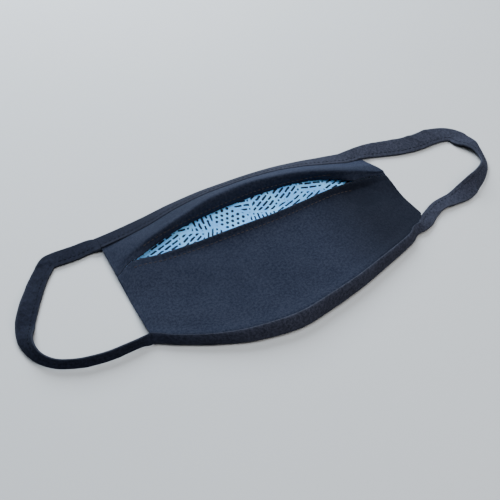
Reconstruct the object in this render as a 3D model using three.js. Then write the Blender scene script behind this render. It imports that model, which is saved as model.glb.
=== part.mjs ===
import * as THREE from "three";

// A cloth face mask that lies on its front with its inside up. Two layers of cloth meet at the nose edge,
// the chin edge and the two side edges. The dark lining is cut across into an upper and a lower part, and
// the slit between their hems opens into the pocket over the printed outer panel. A folded tape wraps the
// nose edge and the chin edge and runs on as a loop at each side.
// Millimetres. X runs along the mask, Y points to the nose edge, Z is up, and the origin is the middle of
// the flat face that the outer panel rests on.

// Driving dimensions
const bodyLength = 206;
const bodyHeight = 137;
const crestRise = 17;
const slitOpening = 19;
const panelThickness = 1;
const hemWidth = 7;
const hemThickness = 1.7;
const tapeWidth = 12;
const tapeThickness = 1;
const strapThickness = 2;
const loopReachLeft = 66;
const loopReachRight = 79;
const clothGap = 0.3;
const groundGap = 0.3;

// How finely the curved forms are divided
const bodySteps = 36;
const strapSteps = 44;

const halfLength = bodyLength / 2;
const halfHeight = bodyHeight / 2;
const layerStep = panelThickness + clothGap;
const bindingHalf = tapeThickness + panelThickness + 1.5 * clothGap;
const bellyHeight = panelThickness / 2;

// Sections along the mask. Each row stands at a share of the half length, from the left end to the right.
// edge and rise place the tape's folded edge: shares of the half height and of the crest's rise above where
// the tape would touch the ground. tilt is how steeply the tape climbs from that edge towards the middle of
// the mask, in degrees, and width is the share of the tape's width that lies on the inside.
const NOSE_EDGE = [
  { at: -1.0, edge: 0.905, rise: 0.0, tilt: 4, width: 1 },
  { at: -0.7, edge: 0.945, rise: 0.03, tilt: 12, width: 1 },
  { at: -0.45, edge: 0.985, rise: 0.1, tilt: 24, width: 1 },
  { at: -0.2, edge: 1.0, rise: 0.16, tilt: 31, width: 1 },
  { at: 0.05, edge: 0.995, rise: 0.18, tilt: 32, width: 1 },
  { at: 0.3, edge: 0.97, rise: 0.2, tilt: 29, width: 1 },
  { at: 0.5, edge: 0.925, rise: 0.2, tilt: 22, width: 1 },
  { at: 0.68, edge: 0.875, rise: 0.17, tilt: 12, width: 1 },
  { at: 0.85, edge: 0.84, rise: 0.12, tilt: 0, width: 1 },
  { at: 1.0, edge: 0.83, rise: 0.06, tilt: -12, width: 1 },
];

const CHIN_EDGE = [
  { at: -1.0, edge: -0.545, rise: 0.0, tilt: 44, width: 0.58 },
  { at: -0.88, edge: -0.65, rise: 0.0, tilt: 60, width: 0.54 },
  { at: -0.7, edge: -0.8, rise: 0.0, tilt: 68, width: 0.6 },
  { at: -0.45, edge: -0.945, rise: 0.0, tilt: 67, width: 0.78 },
  { at: -0.2, edge: -1.0, rise: 0.0, tilt: 65, width: 0.86 },
  { at: 0.05, edge: -0.945, rise: 0.0, tilt: 66, width: 0.84 },
  { at: 0.3, edge: -0.87, rise: 0.0, tilt: 68, width: 0.78 },
  { at: 0.5, edge: -0.785, rise: 0.0, tilt: 68, width: 0.72 },
  { at: 0.68, edge: -0.7, rise: 0.0, tilt: 66, width: 0.64 },
  { at: 0.85, edge: -0.615, rise: 0.0, tilt: 56, width: 0.58 },
  { at: 1.0, edge: -0.56, rise: 0.0, tilt: 30, width: 0.6 },
];

// The lining between the tapes. crest is the rolled fold, slit the lower hem's edge, dip the low part of the
// lower lining. Places are shares of the half height, heights shares of the crest's rise. open and lift say
// how far the upper hem stands away from the lower one, as shares of the slit's opening. side raises the
// outer panel towards a side edge, to meet the lining there.
const LINING = [
  { at: -1.0, crest: 0.42, crestHeight: 0.2, slit: 0.32, slitHeight: 0.165, open: 0.0, lift: 0.0, dip: 0.12, side: 0 },
  { at: -0.88, crest: 0.49, crestHeight: 0.41, slit: 0.42, slitHeight: 0.3, open: 0.0, lift: 0.0, dip: 0.17, side: 0 },
  { at: -0.7, crest: 0.54, crestHeight: 0.7, slit: 0.365, slitHeight: 0.4, open: 0.43, lift: 0.1, dip: 0.22, side: 0 },
  { at: -0.45, crest: 0.66, crestHeight: 0.9, slit: 0.335, slitHeight: 0.48, open: 0.82, lift: 0.14, dip: 0.25, side: 0 },
  { at: -0.2, crest: 0.725, crestHeight: 0.99, slit: 0.325, slitHeight: 0.52, open: 0.97, lift: 0.16, dip: 0.26, side: 0 },
  { at: 0.05, crest: 0.74, crestHeight: 1.0, slit: 0.305, slitHeight: 0.53, open: 1.0, lift: 0.17, dip: 0.26, side: 0 },
  { at: 0.3, crest: 0.69, crestHeight: 0.98, slit: 0.31, slitHeight: 0.52, open: 0.93, lift: 0.14, dip: 0.25, side: 0 },
  { at: 0.5, crest: 0.62, crestHeight: 0.92, slit: 0.32, slitHeight: 0.5, open: 0.7, lift: 0.1, dip: 0.24, side: 0 },
  { at: 0.68, crest: 0.52, crestHeight: 0.82, slit: 0.325, slitHeight: 0.47, open: 0.24, lift: 0.03, dip: 0.22, side: 0 },
  { at: 0.78, crest: 0.465, crestHeight: 0.75, slit: 0.33, slitHeight: 0.45, open: 0.0, lift: 0.0, dip: 0.19, side: 0.1 },
  { at: 0.9, crest: 0.4, crestHeight: 0.65, slit: 0.31, slitHeight: 0.5, open: 0.0, lift: 0.0, dip: 0.16, side: 0.26 },
  { at: 1.0, crest: 0.365, crestHeight: 0.57, slit: 0.3, slitHeight: 0.53, open: 0.0, lift: 0.0, dip: 0.13, side: 0.34 },
];

// The loops' routes, from the nose edge round to the chin edge. reach is a share of the loop's reach from
// the side edge, across a share of the half height, and lean turns the tape about its run, in degrees: at 0
// it lies flat, and past 90 either way its face tips over. width is a share of the tape's width.
const LOOP_LEFT = [
  { reach: 0.14, across: 0.825, lean: 0, width: 1 },
  { reach: 0.32, across: 0.83, lean: 0, width: 1 },
  { reach: 0.49, across: 0.82, lean: 0, width: 1 },
  { reach: 0.63, across: 0.755, lean: 4, width: 1 },
  { reach: 0.72, across: 0.62, lean: 4, width: 1 },
  { reach: 0.81, across: 0.47, lean: 0, width: 1 },
  { reach: 0.9, across: 0.32, lean: -6, width: 1 },
  { reach: 0.98, across: 0.14, lean: -20, width: 1 },
  { reach: 1.0, across: -0.03, lean: -45, width: 1 },
  { reach: 0.97, across: -0.19, lean: -72, width: 1 },
  { reach: 0.88, across: -0.33, lean: -90, width: 1 },
  { reach: 0.75, across: -0.425, lean: -97, width: 1 },
  { reach: 0.6, across: -0.48, lean: -100, width: 1 },
  { reach: 0.43, across: -0.51, lean: -100, width: 1 },
  { reach: 0.27, across: -0.515, lean: -92, width: 0.9 },
  { reach: 0.12, across: -0.505, lean: -70, width: 0.7 },
];

const LOOP_RIGHT = [
  { reach: 0.08, across: 0.73, lean: 26, width: 1 },
  { reach: 0.2, across: 0.675, lean: 38, width: 1 },
  { reach: 0.37, across: 0.615, lean: 43, width: 1 },
  { reach: 0.54, across: 0.585, lean: 45, width: 1 },
  { reach: 0.72, across: 0.585, lean: 42, width: 1 },
  { reach: 0.86, across: 0.57, lean: 26, width: 1 },
  { reach: 0.96, across: 0.505, lean: 12, width: 1 },
  { reach: 1.0, across: 0.39, lean: 8, width: 1 },
  { reach: 0.995, across: 0.26, lean: 10, width: 1 },
  { reach: 0.96, across: 0.12, lean: 18, width: 1 },
  { reach: 0.89, across: -0.01, lean: 26, width: 1 },
  { reach: 0.78, across: -0.125, lean: 26, width: 1 },
  { reach: 0.66, across: -0.215, lean: 18, width: 1 },
  { reach: 0.51, across: -0.285, lean: 10, width: 1 },
  { reach: 0.35, across: -0.33, lean: 2, width: 0.98 },
  { reach: 0.18, across: -0.38, lean: -8, width: 0.86 },
];

// A table's column at a share of the half length, smooth and without overshoot between its rows.
function column(table, name, at) {
  let row = 0;
  while (row < table.length - 2 && at > table[row + 1].at) {
    row += 1;
  }
  const slope = (index) => {
    const rise = table[index + 1][name] - table[index][name];
    return rise / (table[index + 1].at - table[index].at);
  };
  const tangent = (index) => {
    if (index === 0 || index === table.length - 1) {
      return 0.5 * slope(index === 0 ? 0 : index - 1);
    }
    const before = slope(index - 1);
    const after = slope(index);
    return before * after <= 0 ? 0 : (2 * before * after) / (before + after);
  };
  const span = table[row + 1].at - table[row].at;
  const t = THREE.MathUtils.clamp((at - table[row].at) / span, 0, 1);
  const t2 = t * t;
  const t3 = t2 * t;
  return (
    (2 * t3 - 3 * t2 + 1) * table[row][name] +
    (t3 - 2 * t2 + t) * span * tangent(row) +
    (3 * t2 - 2 * t3) * table[row + 1][name] +
    (t3 - t2) * span * tangent(row + 1)
  );
}

// A section's points are Vector2 pairs of Y and Z.
function point(y, z) {
  return new THREE.Vector2(y, z);
}

function moved(start, ...steps) {
  const result = start.clone();
  for (const [direction, distance] of steps) {
    result.addScaledVector(direction, distance);
  }
  return result;
}

// The tape over an edge at one section. inward points from the folded edge towards the middle of the mask,
// up is square to it, fold is the middle of the folded edge's round, and seam is the tape's inner edge.
function tapeSection(table, at) {
  const side = Math.sign(column(table, "edge", 0));
  const tilt = THREE.MathUtils.degToRad(column(table, "tilt", at));
  const width = tapeWidth * column(table, "width", at);
  const inward = point(-side * Math.cos(tilt), Math.sin(tilt));
  const up = point(side * Math.sin(tilt), Math.cos(tilt));
  const straight = width - bindingHalf;
  const seamDrop = Math.max(0, -straight * Math.sin(tilt));
  const foldHeight = groundGap + bindingHalf + seamDrop + crestRise * column(table, "rise", at);
  const fold = point(halfHeight * column(table, "edge", at) - side * bindingHalf, foldHeight);
  const seam = moved(fold, [inward, straight]);
  return { inward, up, fold, seam, straight };
}

// Where a cloth layer leaves the tape: its two points inside the tape, the second one shifted along the tape
// so that the layers still lie a step apart after the turn towards next. layer is 1 for the lining and -1
// for the outer panel.
function tucked(tape, layer, next) {
  const offset = (layer * layerStep) / 2;
  const end = moved(tape.fold, [tape.inward, clothGap], [tape.up, offset]);
  const leaving = next.clone().sub(tape.seam).normalize();
  const turn = Math.atan2(-leaving.dot(tape.up), leaving.dot(tape.inward));
  const shift = offset * Math.tan(turn / 2);
  const bend = moved(tape.seam, [tape.inward, shift], [tape.up, offset]);
  return { end, bend };
}

// The named points of one section of the lining.
function liningPoints(at) {
  const value = (name) => column(LINING, name, at);
  const crest = point(halfHeight * value("crest"), crestRise * value("crestHeight"));
  const slitPlace = halfHeight * value("slit");
  const slitHeight = crestRise * value("slitHeight");
  const lowerHem = point(slitPlace - clothGap / 2, slitHeight);
  const open = slitOpening * value("open");
  const upperHem = point(slitPlace + clothGap / 2 + open, slitHeight + slitOpening * value("lift"));
  return { crest, lowerHem, upperHem, dipHeight: crestRise * value("dip") };
}

function lerp(a, b, share) {
  return a.clone().lerp(b, share);
}

// A smooth run of points through the given ones, which are kept as the run's ends.
function smoothRun(points, count) {
  const curve = new THREE.SplineCurve(points);
  return curve.getSpacedPoints(count);
}

function liningUpperSection(at) {
  const { crest, upperHem } = liningPoints(at);
  const tape = tapeSection(NOSE_EDGE, at);
  const { end, bend } = tucked(tape, 1, crest);
  const back = lerp(bend, crest, 0.55);
  const front = point(lerp(crest, upperHem, 0.55).x, lerp(crest, upperHem, 0.5).y);
  back.y += 0.03 * crestRise * THREE.MathUtils.smoothstep(crest.y, 0.2 * crestRise, crestRise);
  return [end, ...smoothRun([bend, back, crest, front, upperHem], 13)];
}

function liningLowerSection(at) {
  const { lowerHem, dipHeight } = liningPoints(at);
  const tape = tapeSection(CHIN_EDGE, at);
  const ridge = tape.seam;
  const shoulder = point(lerp(lowerHem, ridge, 0.82).x, dipHeight + 0.3 * Math.max(0, ridge.y - dipHeight));
  const { end, bend } = tucked(tape, 1, shoulder);
  const dip = point(lerp(lowerHem, ridge, 0.45).x, dipHeight);
  return [...smoothRun([lowerHem, dip, shoulder, bend], 9), end];
}

// The outer panel: flat on the ground in the middle, climbing into the two tapes.
function outerSection(at) {
  const raised = crestRise * column(LINING, "side", at);
  const bump = (y) => {
    const middle = halfHeight * column(LINING, "slit", at);
    const share = THREE.MathUtils.clamp(1 - Math.abs(y - middle) / (0.36 * halfHeight), 0, 1);
    return bellyHeight + raised * share * share;
  };
  const climb = (tape, flatEdge) => {
    const { end, bend } = tucked(tape, -1, point(flatEdge, bump(flatEdge)));
    const run = [0.25, 0.5, 0.75].map((share) => {
      const y = THREE.MathUtils.lerp(flatEdge, bend.x, share);
      return point(y, bump(y) + (bend.y - bellyHeight) * share * share);
    });
    return [...run, bend, end];
  };
  const nose = tapeSection(NOSE_EDGE, at);
  const chin = tapeSection(CHIN_EDGE, at);
  const noseFlat = nose.seam.x - 0.26 * halfHeight;
  const chinFlat = chin.seam.x + 0.26 * halfHeight;
  const belly = [0, 0.17, 0.33, 0.5, 0.67, 0.83, 1].map((share) => {
    const y = THREE.MathUtils.lerp(noseFlat, chinFlat, share);
    return point(y, bump(y));
  });
  return [...climb(nose, noseFlat).reverse(), ...belly, ...climb(chin, chinFlat)];
}

// The closed ring of a cloth section: its middle line stood off half a thickness to each side. Where an
// end is a hem, its face is upright and the turned cloth under it makes it thicker.
function clothRing(line, hem) {
  const last = line.length - 1;
  const length = (a, b) => line[a].distanceTo(line[b]);
  const fromHem = line.map(() => Infinity);
  if (hem === "first") {
    fromHem[0] = 0;
    for (let i = 1; i <= last; i += 1) {
      fromHem[i] = fromHem[i - 1] + length(i, i - 1);
    }
  }
  if (hem === "last") {
    fromHem[last] = 0;
    for (let i = last - 1; i >= 0; i -= 1) {
      fromHem[i] = fromHem[i + 1] + length(i, i + 1);
    }
  }
  const square = (a, b) => {
    const along = line[b].clone().sub(line[a]).normalize();
    return point(-along.y, along.x);
  };
  const over = [];
  const under = [];
  line.forEach((place, i) => {
    const before = square(Math.max(0, i - 1), Math.max(1, i));
    const after = square(Math.min(last - 1, i), Math.min(last, i + 1));
    const normal = before.clone().add(after).normalize();
    const reach = panelThickness / 2 / Math.max(0.5, normal.dot(before));
    if (fromHem[i] === 0) {
      normal.set(0, Math.sign(normal.y));
    }
    const upward = normal.y >= 0 ? 1 : -1;
    const turned = fromHem[i] <= hemWidth ? hemThickness - panelThickness : 0;
    over.push(moved(place, [normal, reach + (upward < 0 ? turned : 0)]));
    under.push(moved(place, [normal, -reach - (upward > 0 ? turned : 0)]));
  });
  return [...over, ...under.reverse()];
}

// The closed ring of a tape folded over both cloth layers.
function tapeRing(table, at) {
  const tape = tapeSection(table, at);
  const inner = bindingHalf - tapeThickness;
  const setback = 0.4 * tape.straight;
  const place = (along, offset) => moved(tape.fold, [tape.inward, along], [tape.up, offset]);
  const round = (radius, from, to, steps) => {
    const points = [];
    for (let i = 0; i <= steps; i += 1) {
      const angle = THREE.MathUtils.lerp(from, to, i / steps);
      points.push(place(-radius * Math.cos(angle), radius * Math.sin(angle)));
    }
    return points;
  };
  const quarter = Math.PI / 2;
  return [
    place(tape.straight, inner),
    place(tape.straight, bindingHalf),
    ...round(bindingHalf, quarter, -quarter, 4),
    place(tape.straight - setback, -bindingHalf),
    place(tape.straight - setback, -inner),
    ...round(inner, -quarter, quarter, 4),
  ];
}

// A closed solid through rings that have the same number of points, with its two ends filled. Each patch is
// split along its shorter diagonal, so that layers which run side by side keep their distance.
function loft(rings) {
  const count = rings[0].length;
  const places = rings.flat();
  const positions = places.flatMap((v) => [v.x, v.y, v.z]);
  const triangles = [];
  for (let ring = 0; ring < rings.length - 1; ring += 1) {
    for (let i = 0; i < count; i += 1) {
      const a = ring * count + i;
      const b = ring * count + ((i + 1) % count);
      const straightAcross = places[a].distanceTo(places[b + count]);
      if (straightAcross <= places[b].distanceTo(places[a + count])) {
        triangles.push([a, b, b + count], [a, b + count, a + count]);
      } else {
        triangles.push([a, b, a + count], [b, b + count, a + count]);
      }
    }
  }
  const cap = (ring, flip) => {
    const origin = rings[ring][0];
    const first = rings[ring][1].clone().sub(origin).normalize();
    const normal = new THREE.Vector3();
    rings[ring].forEach((v, i) => {
      const next = rings[ring][(i + 1) % count];
      normal.add(v.clone().sub(origin).cross(next.clone().sub(origin)));
    });
    const second = normal.normalize().clone().cross(first);
    const flat = rings[ring].map((v) => {
      const offset = v.clone().sub(origin);
      return new THREE.Vector2(offset.dot(first), offset.dot(second));
    });
    for (const [a, b, c] of THREE.ShapeUtils.triangulateShape(flat, [])) {
      const corners = [a, b, c].map((i) => ring * count + i);
      triangles.push(flip ? corners.reverse() : corners);
    }
  };
  cap(0, true);
  cap(rings.length - 1, false);
  return closedGeometry(positions, triangles);
}

// The triangles as a geometry whose faces point out.
function closedGeometry(positions, triangles) {
  const corner = (i) => new THREE.Vector3().fromArray(positions, 3 * i);
  let volume = 0;
  for (const [a, b, c] of triangles) {
    volume += corner(a).dot(corner(b).cross(corner(c)));
  }
  const facing = volume < 0 ? triangles.map(([a, b, c]) => [a, c, b]) : triangles;
  const geometry = new THREE.BufferGeometry();
  geometry.setAttribute("position", new THREE.Float32BufferAttribute(positions, 3));
  geometry.setIndex(facing.flat());
  geometry.computeVertexNormals();
  return geometry;
}

// A body piece: the same section rule at every step along the mask.
function alongBody(ringAt) {
  const rings = [];
  for (let i = 0; i <= bodySteps; i += 1) {
    const at = (2 * i) / bodySteps - 1;
    rings.push(ringAt(at).map((p) => new THREE.Vector3(halfLength * at, p.x, p.y)));
  }
  return loft(rings);
}

// A loop: a strap swept from the end of the nose tape to the end of the chin tape. side is -1 for the left
// loop and 1 for the right one. The strap leans about its run and rests on the ground by itself, and its two
// ends line up with the ends of the tapes.
function loopGeometry(table, side, reachLength) {
  const restHeight = (row) => {
    const lean = THREE.MathUtils.degToRad(row.lean);
    const upright = (row.width * tapeWidth * Math.abs(Math.sin(lean))) / 2;
    return groundGap + upright + (strapThickness * Math.abs(Math.cos(lean))) / 2;
  };
  const joinedEnd = (edgeTable, turned) => {
    const tape = tapeSection(edgeTable, side);
    const middle = moved(tape.seam, [tape.inward, -(tape.straight + bindingHalf) / 2]);
    const lean = -column(edgeTable, "tilt", side);
    const width = column(edgeTable, "width", side);
    const x = side * (halfLength + clothGap);
    const near = side * (halfLength + clothGap + turned);
    return {
      end: { place: new THREE.Vector3(x, middle.x, middle.y), lean, width },
      lead: { place: new THREE.Vector3(near, middle.x, middle.y), lean, width },
    };
  };
  const leadLength = 0.25 * tapeWidth;
  const nose = joinedEnd(NOSE_EDGE, leadLength);
  const chin = joinedEnd(CHIN_EDGE, leadLength);
  const middle = table.map((row) => {
    const x = side * (halfLength + row.reach * reachLength);
    return { place: new THREE.Vector3(x, halfHeight * row.across, restHeight(row)), lean: row.lean, width: row.width };
  });
  const stations = [nose.end, nose.lead, ...middle, chin.lead, chin.end];
  const route = new THREE.CatmullRomCurve3(stations.map((s) => s.place));
  const turns = new THREE.SplineCurve(stations.map((s) => new THREE.Vector2(s.lean, s.width)));
  const rings = [];
  for (let i = 0; i <= strapSteps; i += 1) {
    const t = route.getUtoTmapping(i / strapSteps);
    const atEnd = i === 0 || i === strapSteps;
    const run = atEnd ? new THREE.Vector3(i === 0 ? side : -side, 0, 0) : route.getTangent(t);
    const { x: lean, y: width } = turns.getPoint(t);
    rings.push(strapRing(route.getPoint(t), run, side, THREE.MathUtils.degToRad(lean), width));
  }
  return loft(rings);
}

// The strap's section: a flat tape with its corners taken off. outward points away from the loop's middle.
function strapRing(place, run, side, lean, width) {
  const up = new THREE.Vector3(0, 0, 1);
  const level = new THREE.Vector3().crossVectors(up, run).multiplyScalar(side).normalize();
  const across = level.multiplyScalar(Math.cos(lean)).addScaledVector(up, Math.sin(lean));
  across.addScaledVector(run, -across.dot(run)).normalize();
  const through = new THREE.Vector3().crossVectors(run, across).normalize();
  const a = (tapeWidth * width) / 2;
  const b = strapThickness / 2;
  const c = 0.5 * b;
  const corners = [
    [a, -c], [a, c], [a - c, b], [c - a, b], [-a, c], [-a, -c], [c - a, -b], [a - c, -b],
  ];
  return corners.map(([x, y]) => place.clone().addScaledVector(across, x).addScaledVector(through, y));
}

const liningCloth = new THREE.MeshStandardMaterial({ color: 0x2b3646, roughness: 0.92, metalness: 0 });
const printedCloth = new THREE.MeshStandardMaterial({ color: 0xaecbec, roughness: 0.85, metalness: 0 });
const foldedTape = new THREE.MeshStandardMaterial({ color: 0x252d3a, roughness: 0.9, metalness: 0 });

const group = new THREE.Group();

function add(name, geometry, material) {
  const mesh = new THREE.Mesh(geometry, material);
  mesh.name = name;
  group.add(mesh);
}

add("outer_panel", alongBody((at) => clothRing(outerSection(at), "none")), printedCloth);
add("lining_upper", alongBody((at) => clothRing(liningUpperSection(at), "last")), liningCloth);
add("lining_lower", alongBody((at) => clothRing(liningLowerSection(at), "first")), liningCloth);
add("binding_top", alongBody((at) => tapeRing(NOSE_EDGE, at)), foldedTape);
add("binding_chin", alongBody((at) => tapeRing(CHIN_EDGE, at)), foldedTape);
add("ear_loop_left", loopGeometry(LOOP_LEFT, -1, loopReachLeft), foldedTape);
add("ear_loop_right", loopGeometry(LOOP_RIGHT, 1, loopReachRight), foldedTape);

export default group;
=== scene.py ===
"""A cloth face mask that lies on its front with its inside up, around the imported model."""

import math

import bpy
import numpy as np
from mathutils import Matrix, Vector


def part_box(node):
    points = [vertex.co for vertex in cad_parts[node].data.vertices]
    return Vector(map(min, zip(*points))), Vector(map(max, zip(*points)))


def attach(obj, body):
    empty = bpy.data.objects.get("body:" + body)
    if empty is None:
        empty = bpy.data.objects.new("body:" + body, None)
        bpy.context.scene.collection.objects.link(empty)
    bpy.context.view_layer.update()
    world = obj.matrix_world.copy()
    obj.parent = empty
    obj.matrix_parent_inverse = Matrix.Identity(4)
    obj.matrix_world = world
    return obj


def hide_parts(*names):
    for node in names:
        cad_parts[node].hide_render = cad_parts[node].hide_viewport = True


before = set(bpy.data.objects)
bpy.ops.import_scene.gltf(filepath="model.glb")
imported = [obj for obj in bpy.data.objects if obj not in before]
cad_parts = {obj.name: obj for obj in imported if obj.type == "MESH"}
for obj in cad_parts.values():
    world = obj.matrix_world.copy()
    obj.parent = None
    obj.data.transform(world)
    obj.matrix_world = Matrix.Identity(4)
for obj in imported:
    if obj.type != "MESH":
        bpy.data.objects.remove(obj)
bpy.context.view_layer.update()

# Metres in a millimetre, and the millimetres of cloth in one unit of its UV map.
MM = 0.001
UV_MM = 10.0

# Sizes are in millimetres where nothing else is said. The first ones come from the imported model, where the
# crest's middle line lies a little lower than the top of the lining.
CREST_BELOW_TOP = 0.5
half_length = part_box("lining_lower")[1][0] / MM
half_height = (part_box("binding_top")[1][1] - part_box("binding_chin")[0][1]) / 2 / MM
crest_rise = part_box("lining_upper")[1][2] / MM - CREST_BELOW_TOP
slit_opening = 24.0
tape_width = 12.0
loop_reach = {-1: 66.0, 1: 79.0}

# The air under the mask, and the room for stitches under a tape.
GROUND_GAP = 0.3
STITCH_ROOM = 0.3

# Thicknesses: the lining, the outer cloth, what a turned hem adds, one leaf of a tape, and half of a tape and
# half of a loop. LAYER_STEP lies between the middles of the two cloths where they meet.
CLOTH = 0.6
OUTER_CLOTH = 0.6
HEM_EXTRA = 0.5
TAPE_LEAF = 0.42
TAPE_HALF = 1.12
STRAP_HALF = 0.82
LAYER_STEP = 0.66

# The turned hem's width, and how far the stitches lie from a hem's edge and from a tape's inner edge.
HEM_WIDTH = 7.0
HEM_STITCH = 5.0
UPPER_HEM_STITCH = 4.5
TAPE_STITCH = 3.0
STITCH_PITCH = 3.3
STITCH_LENGTH = 2.3
THREAD_RADIUS = 0.17

# How far the middle of a tape's stitches stands off the tape's face.
STITCH_STAND = 0.02

# How far from its seam a tape rolls over onto the cloth, and by what share of its own tilt.
CURL_LENGTH = 3.6
NOSE_CURL = 0.25
CHIN_CURL = 0.72

# Where a cloth starts inside a tape, measured from its fold, how far past the seam that part ends, and in how
# many points.
TUCK_FROM_FOLD = 0.2
TUCK_PAST_SEAM = 0.5
TUCK_POINTS = 9

# The side edges: how far the left one leans out, how far the right one's lower and upper corner are drawn in,
# between which places across the mask, and from which shares of the half length on.
LEFT_OUT = 1.6
LEFT_FROM = 0.7
CORNER_IN = 10.3
CORNER_REACH = (-22.5, -35.8)
SHOULDER_IN = 3.2
SHOULDER_REACH = (14, 48)
RIGHT_FROM = 0.76

# The outer cloth ends a little inside the lining at the side edges.
OUTER_SHARE = 0.993

# How far in front of the slit the lower lining starts to rise steeply to its hem.
FOOT_REACH = 7.0

# The soft hollow in the lower lining beside the slit's right end: its middle, its reach along and across, its
# depth, how low it may go, and between which distances from the hem it begins.
HOLLOW_PLACE = (80.0, 14.0)
HOLLOW_REACH = (12.0, 11.0)
HOLLOW_DEPTH = 3.6
HOLLOW_FLOOR = 2.3
HOLLOW_FROM_HEM = (0.5, 6.0)

# How finely the cloths are divided along the mask and across it, and a loop along its route.
STATIONS = 281
LINING_POINTS = 90
OUTER_POINTS = 120
LOOP_STATIONS = 331
SPLINE_STEPS = 14
LOOP_SPLINE_STEPS = 24

# The least length and rate of turning that something is divided by.
LEAST_LENGTH = 1e-9
LEAST_RATE = 1e-4


def table(columns, *rows):
    """The rows as one array for each named column."""
    values = np.array(rows, float).T
    return dict(zip(columns.split(), values))


# Sections along the mask, as shares of its half length, half height and crest rise. edge and rise place a
# tape's folded edge, tilt is how steeply it climbs inwards in degrees, width a share of the tape's width.
NOSE_EDGE = table(
    "at edge rise tilt width",
    (-1, 0.905, 0, 4, 1),
    (-0.7, 0.945, 0.03, 12, 1),
    (-0.45, 0.985, 0.1, 24, 1),
    (-0.2, 1, 0.16, 31, 1),
    (0.05, 0.995, 0.18, 32, 1),
    (0.3, 0.97, 0.2, 29, 1),
    (0.5, 0.925, 0.2, 22, 1),
    (0.68, 0.875, 0.17, 12, 1),
    (0.85, 0.84, 0.12, 0, 1),
    (1, 0.83, 0.06, -12, 1),
)
CHIN_EDGE = table(
    "at edge rise tilt width",
    (-1, -0.545, 0, 44, 0.58),
    (-0.88, -0.65, 0, 60, 0.54),
    (-0.7, -0.8, 0, 68, 0.6),
    (-0.45, -0.945, 0, 67, 0.78),
    (-0.2, -1, 0, 65, 0.86),
    (0.05, -0.945, 0, 66, 0.84),
    (0.3, -0.86, 0, 68, 0.78),
    (0.5, -0.77, 0, 68, 0.72),
    (0.68, -0.685, 0, 66, 0.64),
    (0.85, -0.605, 0, 56, 0.58),
    (1, -0.56, 0, 30, 0.6),
)
# The lining's sections: the crest, the slit's line, how far the slit is open and how far the upper hem lies
# above the lower one, as shares of slit_opening, the dip before the chin tape and how steep the foot is.
LINING = table(
    "at crest crest_height slit slit_height open lift dip foot",
    (-1, 0.42, 0.2, 0.32, 0.165, 0, 0, 0.12, 0),
    (-0.88, 0.49, 0.41, 0.405, 0.3, 0, 0, 0.17, 0.3),
    (-0.7, 0.545, 0.69, 0.345, 0.4, 0.4, -0.024, 0.2, 0.8),
    (-0.45, 0.615, 0.89, 0.31, 0.48, 0.8, -0.085, 0.22, 1),
    (-0.2, 0.675, 1, 0.302, 0.52, 0.94, -0.113, 0.23, 1),
    (0.05, 0.69, 1, 0.293, 0.53, 1, -0.113, 0.23, 1),
    (0.3, 0.635, 0.98, 0.31, 0.52, 0.92, -0.119, 0.22, 1),
    (0.5, 0.565, 0.9, 0.335, 0.5, 0.68, -0.094, 0.21, 1),
    (0.68, 0.48, 0.77, 0.35, 0.43, 0.27, -0.036, 0.2, 1),
    (0.78, 0.435, 0.68, 0.345, 0.38, 0, 0, 0.18, 0.6),
    (0.9, 0.375, 0.55, 0.32, 0.36, 0, 0, 0.16, 0.2),
    (1, 0.33, 0.46, 0.275, 0.37, 0, 0, 0.13, 0),
)
# The loops' routes from the nose edge to the chin edge: shares of the loop's reach and of the half height,
# the tape's lean in degrees and its share of the tape's width.
LEFT_LOOP = table(
    "reach across lean width",
    (0.135, 0.828, 4, 1),
    (0.318, 0.814, 8, 1),
    (0.483, 0.82, 7, 1),
    (0.562, 0.808, 4, 1),
    (0.618, 0.754, 0, 1),
    (0.706, 0.65, 0, 1),
    (0.803, 0.5, 8, 1),
    (0.9, 0.333, 16, 1.02),
    (0.985, 0.165, 8, 1),
    (1.03, -0.035, -32, 0.82),
    (0.988, -0.225, -50, 0.6),
    (0.88, -0.356, -58, 0.52),
    (0.74, -0.434, -62, 0.52),
    (0.597, -0.479, -65, 0.54),
    (0.433, -0.505, -66, 0.54),
    (0.274, -0.506, -68, 0.54),
    (0.126, -0.503, -66, 0.52),
)
RIGHT_LOOP = table(
    "reach across lean width",
    (0.09, 0.745, 12, 1.12),
    (0.222, 0.697, 14, 1.18),
    (0.393, 0.638, 14, 1.22),
    (0.563, 0.61, 14, 1.26),
    (0.74, 0.612, 14, 1.24),
    (0.88, 0.592, 10, 1.16),
    (0.972, 0.53, 4, 1.18),
    (1.003, 0.42, -4, 1.36),
    (1.03, 0.3, -12, 1.12),
    (1.022, 0.15, -22, 0.56),
    (0.956, -0.027, -34, 0.5),
    (0.81, -0.168, -40, 0.84),
    (0.665, -0.25, -38, 1.06),
    (0.52, -0.303, -16, 1.16),
    (0.381, -0.318, 2, 1),
    (0.219, -0.328, 4, 0.84),
    (0.09, -0.388, -2, 0.82),
    (-0.02, -0.462, -10, 0.84),
)
LOOPS = {-1: LEFT_LOOP, 1: RIGHT_LOOP}
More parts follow.
